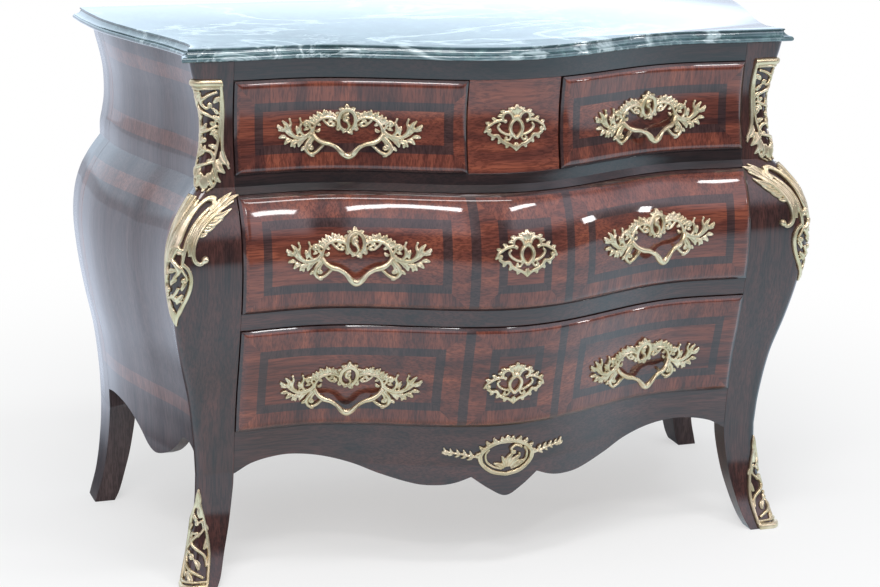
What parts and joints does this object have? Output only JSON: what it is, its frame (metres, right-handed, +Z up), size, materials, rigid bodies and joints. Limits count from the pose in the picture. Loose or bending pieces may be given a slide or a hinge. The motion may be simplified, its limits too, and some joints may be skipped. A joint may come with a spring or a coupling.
{
  "type": "bombe chest",
  "caption": "Bombe chest of drawers: serpentine swelling front, curved legs, marble top and cast mounts; short drawers over long ones slide out on cast pulls.",
  "frame": {"origin": "on the floor, under the middle of the chest's box", "axes": "+X to the right seen from the front, the front faces -Y, +Z up"},
  "size_m": [1.2124, 0.6241, 0.873],
  "materials": {
    "marble": "polished green marble with pale veins",
    "kingwood": "kingwood veneer, dark bands, high gloss lacquer",
    "dark_veneer": "dark veneer, high gloss lacquer",
    "carcass_wood": "plain planed hardwood",
    "gilt_casting": "cast and gilt brass, burnished high points",
    "brass": "turned brass",
    "lock_steel": "plain steel"
  },
  "bodies": {
    "root": {"apron_mount": "gilt_casting", "back_panel": "carcass_wood", "bottom_board": "carcass_wood", "centre_panel": "kingwood", "drawer_guides": "carcass_wood", "drawer_stops": "carcass_wood", "frieze_rail": "dark_veneer", "front_apron": "dark_veneer", "front_post_left": "dark_veneer", "front_post_right": "dark_veneer", "lower_dust_panel": "carcass_wood", "lower_mount_left": "gilt_casting", "lower_mount_right": "gilt_casting", "lower_rail": "dark_veneer", "marble_top": "marble", "partitions": "carcass_wood", "rear_post_left": "dark_veneer", "rear_post_right": "dark_veneer", "sabot_left": "gilt_casting", "sabot_right": "gilt_casting", "side_panel_left": "dark_veneer", "side_panel_right": "dark_veneer", "sub_top": "carcass_wood", "top_escutcheon": "gilt_casting", "upper_dust_panel": "carcass_wood", "upper_mount_left": "gilt_casting", "upper_mount_right": "gilt_casting", "upper_rail": "dark_veneer"},
    "top_left_drawer": {"top_left_handle": "gilt_casting", "top_left_front": "kingwood", "top_left_sides": "carcass_wood", "top_left_back": "carcass_wood", "top_left_bottom": "carcass_wood", "top_left_screws": "brass"},
    "top_right_drawer": {"top_right_handle": "gilt_casting", "top_right_front": "kingwood", "top_right_sides": "carcass_wood", "top_right_back": "carcass_wood", "top_right_bottom": "carcass_wood", "top_right_screws": "brass"},
    "middle_drawer": {"middle_escutcheon": "gilt_casting", "middle_lock_case": "lock_steel", "middle_handle_left": "gilt_casting", "middle_handle_right": "gilt_casting", "middle_front": "kingwood", "middle_sides": "carcass_wood", "middle_back": "carcass_wood", "middle_bottom": "carcass_wood", "middle_screws": "brass"},
    "bottom_drawer": {"bottom_escutcheon": "gilt_casting", "bottom_lock_case": "lock_steel", "bottom_handle_left": "gilt_casting", "bottom_handle_right": "gilt_casting", "bottom_front": "kingwood", "bottom_sides": "carcass_wood", "bottom_back": "carcass_wood", "bottom_bottom": "carcass_wood", "bottom_screws": "brass"},
    "middle_bolt": {"middle_lock_bolt": "brass"},
    "bottom_bolt": {"bottom_lock_bolt": "brass"}
  },
  "joints": [
    {"name": "top_left_slide", "type": "slide", "parent": "root", "child": "top_left_drawer", "axis": [0, -1, 0], "range_m": [0, 0.3]},
    {"name": "top_right_slide", "type": "slide", "parent": "root", "child": "top_right_drawer", "axis": [0, -1, 0], "range_m": [0, 0.3]},
    {"name": "middle_slide", "type": "slide", "parent": "root", "child": "middle_drawer", "axis": [0, -1, 0], "range_m": [0, 0.3]},
    {"name": "bottom_slide", "type": "slide", "parent": "root", "child": "bottom_drawer", "axis": [0, -1, 0], "range_m": [0, 0.3]},
    {"name": "middle_bolt_slide", "type": "slide", "parent": "middle_drawer", "child": "middle_bolt", "axis": [0, 0.3652, 0.9309], "range_m": [0, 0.008]},
    {"name": "bottom_bolt_slide", "type": "slide", "parent": "bottom_drawer", "child": "bottom_bolt", "axis": [0, -0.2984, 0.9544], "range_m": [0, 0.008]}
  ]
}
